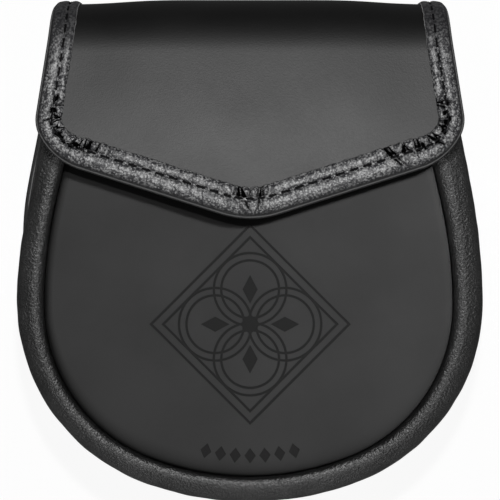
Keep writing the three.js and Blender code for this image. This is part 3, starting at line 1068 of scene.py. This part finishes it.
class SPORRAN_OT_binding(Operator):
    """Make the pebbled binding with its strands, trough, gathers, rounded lip and stitches"""

    bl_idname = "sporran.binding"
    bl_label = "Binding"

    def execute(self, context):
        end = BINDING_LENGTH - 2
        stitch = 2 * end / round(2 * end * MM / sizes().stitch_pitch)
        depth = sizes().pleat_depth / MM
        outer = spline(BINDING_OUTER, np.linspace(0, 1, 50))
        section = np.concatenate((outer, BINDING_INNER[1:]))
        last = len(section) - 1
        is_top = np.arange(last + 1) < np.argmin(np.abs(outer[:, 1] + 0.9))
        is_top[0] = False
        marks = {}

        def form(u, v):
            distance = (2 * u - 1) * BINDING_LENGTH
            row = np.round(v * last).astype(int)
            inset, off = section[row].T.copy()
            top = is_top[row].astype(float)
            inner = smoothstep(inset, STITCH_IN - 0.1, STITCH_IN + 0.7)
            outside = smoothstep(inset, 1.8, 3.0)
            outside *= 1 - smoothstep(inset, STITCH_IN - 0.7, STITCH_IN)
            # Marks for painted shade in the gathers' folds, the corner gaps and the slots between
            # stitches
            painted_hollow_shade = np.zeros_like(off)
            for place, size, width, slant, reach in creases():
                near = distance - place - slant * 0.9 * (inset - STITCH_IN)
                wedge = width * (0.8 + 1.2 * np.exp(-(((inset - STITCH_IN - 0.3) / 1.2) ** 2)))
                fold = np.exp(-((near / wedge) ** 2) / 2)
                beside = np.exp(-((near / (2.6 * width)) ** 2) / 2)
                spread = inner + outside * max(0.0, 1.2 * reach - 0.35)
                off += depth * size * (0.35 * beside - 1.25 * fold) * spread * top
                painted_hollow_shade = np.maximum(painted_hollow_shade, size * fold * spread * top)
            gaps = waves(np.stack((distance, 0.9 * inset, 3 * top), axis=1), 1.9, 5.3)
            bent = smoothstep(np.abs(distance), CORNER_START - 8, CORNER_START + 4)
            bent = bent * (1 - smoothstep(np.abs(distance), CORNER_END + 3, CORNER_END + 15))
            near_trough = np.exp(-(((inset - STITCH_IN - 0.45) / 1.45) ** 2))
            gaps = smoothstep(gaps, -0.08, 0.2) * bent * near_trough * top
            off -= 0.55 * gaps
            painted_hollow_shade = np.maximum(painted_hollow_shade, gaps)
            over = over_fold(distance)
            puff = np.cos(2 * math.pi * (distance + end) / stitch)
            trough = np.exp(-(((inset - STITCH_IN) / 0.5) ** 2))
            pillow = 0.13 * puff * (1 - trough) + 0.22 * puff * trough
            off += pillow * top * smoothstep(inset, 2.5, 4.0)
            # The slots between the stitch puffs get painted shade too
            slot = trough**2 * smoothstep(-puff, -0.7, -0.1) * top
            marks["crease"], marks["over_fold"] = np.maximum(painted_hollow_shade, slot), over
            lumps = waves(np.stack((distance, 2 * inset, 5 * top), axis=1), 2.4, 9.1)
            off += 0.13 * lumps * top * smoothstep(inset, 1.6, 3.2)
            pulled = 0.5 * over * np.maximum(off - GAP, 0) * smoothstep(inset, 0.8, 3.0)
            off = np.where(top > 0, np.maximum(off - pulled, GAP - 0.25), off)
            off = np.where((top > 0) & (inset < 1.6), section[row, 1], off)
            edge = smoothstep(inset, BINDING_WIDTH - 1.6, BINDING_WIDTH) * top
            inset = (inset + 0.25 * lumps * edge) * binding_spread(distance)
            return binding_place(distance, inset, off)

        def lay(u, v):
            row = np.round(v * last).astype(int)
            return (2 * u - 1) * BINDING_LENGTH, np.where(is_top[row], section[row, 0], 0)

        piece = formed_sheet("binding_leather", 840, last, form, lay)
        for name, values in marks.items():
            piece.data.attributes.new(name, "FLOAT", "POINT").data.foreach_set("value", values)
        merge_doubles(piece, 0.004)
        cap_ends(piece)
        settle(piece, pebbled_leather(), "flap_binding", slot="binding_leather", angle=60)

        def stitch_point(distance, side):
            distance = np.array([distance])
            inset = (STITCH_IN - side) * binding_spread(distance)
            sunk = 0.5 + 0.42 * over_fold(distance)
            return [float(value[0]) for value in binding_place(distance, inset, BINDING_TOP - sunk)]

        places = row_places(stitch_point, -end, end, stitch)
        sew("binding_stitches", places, sizes().stitch_length, waxed_thread(), "binding_leather")
        return {"FINISHED"}


class SPORRAN_OT_strap_loops(Operator):
    """Make the two strap loops on the back"""

    bl_idname = "sporran.strap_loops"
    bl_label = "Strap loops"

    def execute(self, context):
        half = LOOP_BRIDGE / 2
        far = half + LOOP_RAMP + LOOP_TAB
        material = smooth_leather("loop_leather", tuple(colours().loop), 0.5, 0.45)

        def sewn_level(y):
            return back_outer_level(LOOP_Y + y) - GAP / math.cos(BACK_TILT) - LOOP_THICKNESS

        for name, side in (("left", -1), ("right", 1)):
            middle = side * LOOP_SPACING / 2

            def form(u, v):
                y = -far + 2 * far * v
                raised = smoothstep(np.abs(y), half, half + LOOP_RAMP)
                return middle + (u - 0.5) * LOOP_WIDTH, LOOP_Y + y, sewn_level(y) * raised

            piece = formed_sheet("loop_leather_" + name, 8, 60, form)
            face_away(piece, (middle, LOOP_Y, 1000))
            thicken(piece, LOOP_THICKNESS)
            bevel(piece, 0.35, 2)
            settle(piece, material, "strap_loop_" + name, slot="loop_leather", angle=50)
            places = []
            for y in (-far + 1.6, -far + 4.8, far - 4.8, far - 1.6):
                low = sewn_level(y) - 0.1

                def tab_point(across, beside, y=y, low=low, middle=middle):
                    return middle + across, LOOP_Y + y + beside, low

                places += row_places(tab_point, 2 - LOOP_WIDTH / 2, LOOP_WIDTH / 2 - 2, 3.2)
            sew("loop_stitches_" + name, places, 0.0024, waxed_thread(), "loop_leather")
        return {"FINISHED"}


class SPORRAN_OT_closure_stud(Operator):
    """Make the plain hidden stud between the flap and the front"""

    bl_idname = "sporran.closure_stud"
    bl_label = "Closure stud"

    def execute(self, context):
        low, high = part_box("closure_stud")
        deselect()
        bpy.ops.mesh.primitive_cylinder_add(
            vertices=48, radius=STUD_RADIUS * MM, depth=high.z - low.z, location=(low + high) / 2
        )
        piece = bpy.context.object
        piece.name = "stud_cap"
        bpy.ops.object.transform_apply()
        bevel(piece, 0.6, 4)
        material = plain_finish("black_enamel", tuple(colours().stud), 0.25)
        settle(piece, material, "closure_stud", slot="stud_enamel", angle=40)
        return {"FINISHED"}


def add_light(name, place, aim, size, watts, diffuse=True, glossy=True):
    deselect()
    bpy.ops.object.light_add(type="AREA", location=place)
    light = bpy.context.object
    light.name = name
    light.data.shape = "RECTANGLE"
    light.data.size, light.data.size_y = size
    light.data.energy = watts
    light.rotation_euler = (Vector(aim) - Vector(place)).to_track_quat("-Z", "Y").to_euler()
    light.visible_diffuse = diffuse
    light.visible_glossy = glossy
    light.visible_camera = False
    return light


class SPORRAN_OT_stage(Operator):
    """Lay the pale floor and set up the lights and the camera"""

    bl_idname = "sporran.stage"
    bl_label = "Stage"

    def execute(self, context):
        deselect()
        bpy.ops.mesh.primitive_plane_add(size=6.0, location=(0, 0, -0.0002))
        floor = bpy.context.object
        floor.name = "floor"
        floor.data.materials.append(
            Shader("pale_floor").dress(
                Base_Color=shade(colours().floor, 0.17),
                Roughness=0.9,
                Specular_IOR_Level=0.0,
                Emission_Color=(1.0, 1.0, 1.0),
                Emission_Strength=0.935,
            )
        )
        floor.visible_glossy = False
        centre = (0, 0, 0.03)
        add_light("key", (0.03, 0.48, 1.18), centre, (0.09, 0.09), 5.5, glossy=False)
        softbox_place, softbox_size = (0.03, -0.32, 1.35), (0.42, 1.05)
        add_light("overhead_softbox", softbox_place, centre, softbox_size, 33.0, diffuse=False)
        for name, place in (
            ("low_front", (0, -1.1, 0.4)),
            ("low_left", (-1.1, 0, 0.35)),
            ("low_right", (1.1, 0, 0.35)),
        ):
            add_light(name, place, centre, (1.2, 0.4), 0.5, diffuse=False)
        glow = add_light("floor_glow", (0, 0, 0.0003), (0, 0, 1), (0.45, 0.45), 0.1, diffuse=False)
        glow.rotation_euler = (math.pi, 0, 0)
        for name, place, size, watts, receiver, diffuse, glossy in (
            ("panel_fill", (0.25, 0.2, 0.4), 0.06, 4.1, "front_panel_leather", True, False),
            ("binding_sparkle", (0.03, 0.22, 1.25), 0.12, 14.0, "binding_leather", True, True),
            ("gusset_edge_light", (0.05, 0.75, 1.0), 0.12, 100.0, "gusset_leather", False, True),
            ("gusset_front_light", (0.0, -0.9, 0.55), 0.4, 12.5, "gusset_leather", True, False),
            ("gusset_left_light", (-1.2, 0.3, 0.08), 0.5, 2.5, "gusset_leather", False, True),
            ("gusset_right_light", (1.2, 0.3, 0.08), 0.5, 2.5, "gusset_leather", False, True),
            ("gusset_low_light", (0.0, -1.2, 0.08), 0.5, 2.5, "gusset_leather", False, True),
        ):
            light = add_light(name, place, centre, (size, size), watts, diffuse, glossy)
            light.light_linking.receiver_collection = bpy.data.collections.new(name)
            light.light_linking.receiver_collection.objects.link(bpy.data.objects[receiver])
        world = bpy.data.worlds.new("studio")
        world.use_nodes = True
        background = world.node_tree.nodes["Background"].inputs
        background["Color"].default_value = (1, 1, 1, 1)
        background["Strength"].default_value = 1.0
        world.cycles_visibility.diffuse = False
        world.cycles_visibility.glossy = False
        context.scene.world = world
        context.scene.view_settings.view_transform = "Standard"
        away = PIXEL * PHOTO_WIDTH * LENS / SENSOR + TRUE_LEVEL
        bpy.ops.object.camera_add(location=(0, 0, away * MM), rotation=(0, 0, 0))
        camera = context.object
        camera.data.lens, camera.data.sensor_width = LENS, SENSOR
        camera.data.clip_end = 20
        context.scene.camera = camera
        return {"FINISHED"}


class SPORRAN_PT_pieces(Panel):
    """Lists the pieces, the sizes and the colours"""

    bl_label = "Day sporran"
    bl_space_type = "VIEW_3D"
    bl_region_type = "UI"
    bl_category = "Sporran"

    def draw(self, context):
        for group in (context.scene.pouch_sizes, context.scene.pouch_colours):
            box = self.layout.box()
            for name in group.__annotations__:
                box.prop(group, name)
        for operator in OPERATORS:
            self.layout.operator(operator.bl_idname)


OPERATORS = (
    SPORRAN_OT_back_panel,
    SPORRAN_OT_gusset,
    SPORRAN_OT_front_panel,
    SPORRAN_OT_flap,
    SPORRAN_OT_binding,
    SPORRAN_OT_strap_loops,
    SPORRAN_OT_closure_stud,
    SPORRAN_OT_stage,
)
CLASSES = (PouchSizes, PouchColours, *OPERATORS, SPORRAN_PT_pieces)


def register():
    for cls in CLASSES:
        bpy.utils.register_class(cls)
    bpy.types.Scene.pouch_sizes = PointerProperty(type=PouchSizes)
    bpy.types.Scene.pouch_colours = PointerProperty(type=PouchColours)


def unregister():
    del bpy.types.Scene.pouch_colours
    del bpy.types.Scene.pouch_sizes
    for cls in reversed(CLASSES):
        bpy.utils.unregister_class(cls)


def main():
    register()
    bpy.ops.sporran.back_panel()
    bpy.ops.sporran.gusset()
    bpy.ops.sporran.front_panel()
    bpy.ops.sporran.flap()
    bpy.ops.sporran.binding()
    bpy.ops.sporran.strap_loops()
    bpy.ops.sporran.closure_stud()
    bpy.ops.sporran.stage()


if __name__ == "__main__":
    main()
